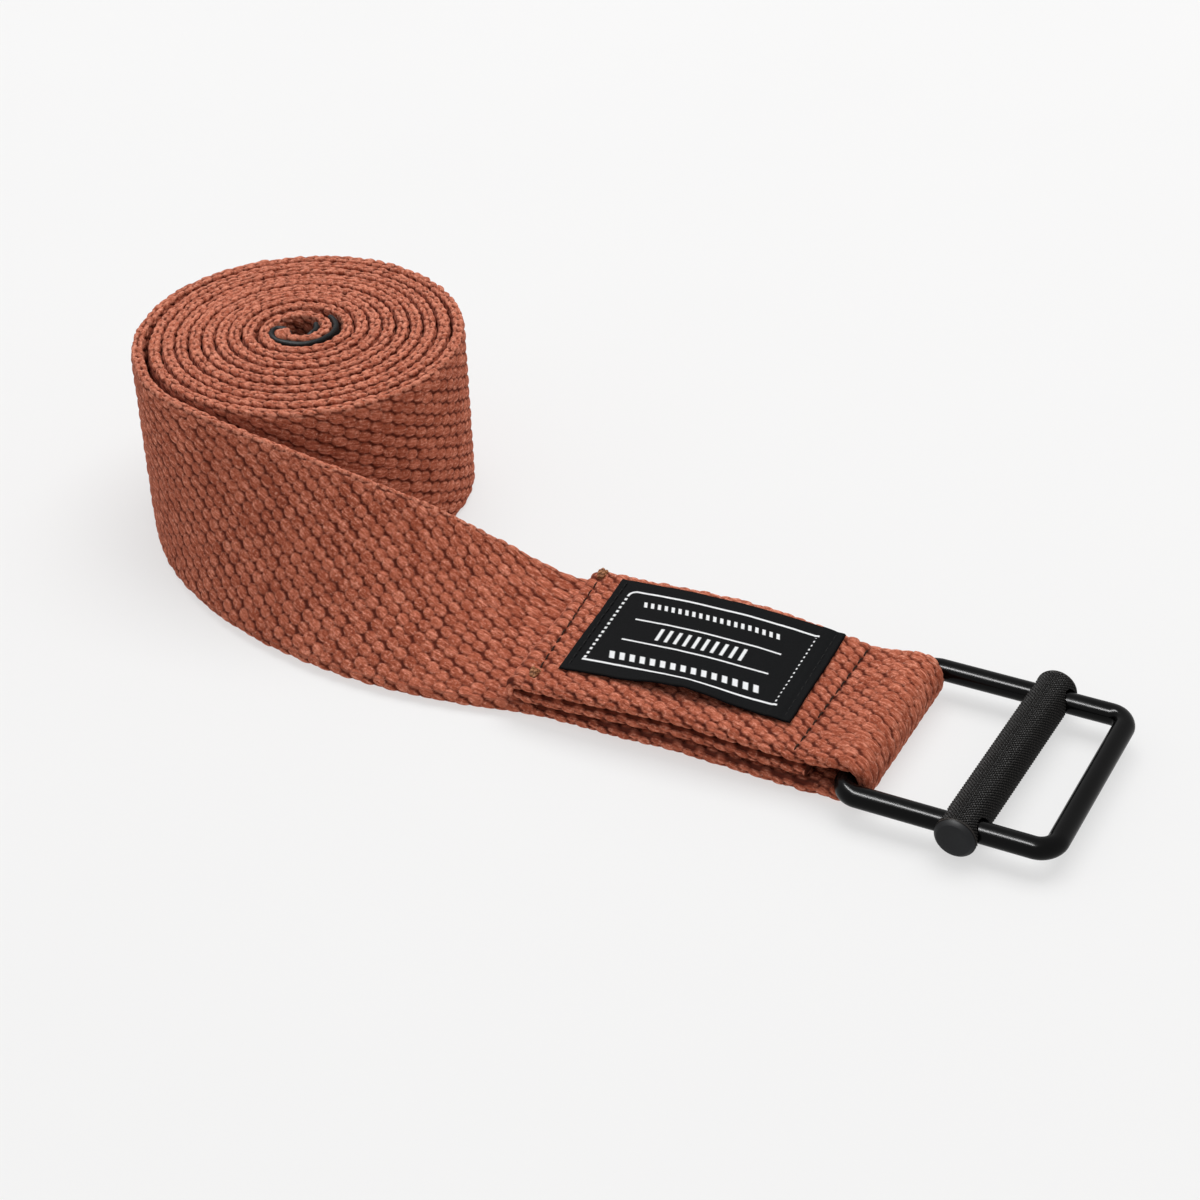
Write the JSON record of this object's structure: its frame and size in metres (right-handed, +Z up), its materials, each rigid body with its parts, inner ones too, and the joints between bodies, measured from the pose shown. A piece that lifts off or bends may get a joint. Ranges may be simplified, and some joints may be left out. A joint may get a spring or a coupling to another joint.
{
  "type": "stretching strap",
  "caption": "Rolled woven stretching strap with a stitched buckle end, a wire frame and a knurled bar that slides on it to grip the strap.",
  "frame": {"origin": "on the coil's lower edge, 8 mm before the strap leaves the coil", "axes": "+X along the flat stitched end towards the buckle, +Y across it away from the near edge, +Z up; the coil stands on the plane z = 0"},
  "size_m": [0.2227, 0.0927, 0.0381],
  "materials": {
    "webbing": "heavy terracotta basket weave, matt",
    "tip_cloth": "smooth black cloth with a slight sheen",
    "label_cloth": "fine black damask weave with white figure",
    "brown_thread": "twisted sewing thread",
    "black_thread": "twisted sewing thread",
    "black_metal": "satin black coating"
  },
  "bodies": {
    "coil": {"strap_coil": "webbing", "tip_cover": "tip_cloth", "tip_needle_thread": "black_thread", "tip_bobbin_thread": "black_thread"},
    "lead": {"strap_lead": "webbing"},
    "buckle_end": {"strap_buckle_end": "webbing", "woven_label": "label_cloth", "label_stitch_left": "black_thread", "label_stitch_right": "black_thread", "hem_needle_thread": "brown_thread", "hem_bobbin_thread": "brown_thread", "hem_backtack_near": "brown_thread", "hem_backtack_far": "brown_thread", "buckle_needle_thread": "brown_thread", "buckle_bobbin_thread": "brown_thread"},
    "frame": {"buckle_frame": "black_metal"},
    "slider": {"slider_bar": "black_metal"}
  },
  "joints": [
    {"name": "unroll", "type": "hinge", "parent": "coil", "child": "lead", "pos_m": [0.00365, -0.00705, 0.019], "axis": [0, 0, -1], "range_deg": [0, 60]},
    {"name": "strap_bend", "type": "hinge", "parent": "lead", "child": "buckle_end", "pos_m": [0.09318, -0.02409, 0.00757], "axis": [0.1811, -0.9233, -0.3387], "range_deg": [0, 55]},
    {"name": "frame_pivot", "type": "hinge", "parent": "buckle_end", "child": "frame", "pos_m": [0.17542, -0.01895, 0.00475], "axis": [0, -1, 0], "range_deg": [0, 105]},
    {"name": "slider_slide", "type": "slide", "parent": "frame", "child": "slider", "axis": [1, 0, 0], "range_m": [-0.0145, 0.0078]}
  ]
}
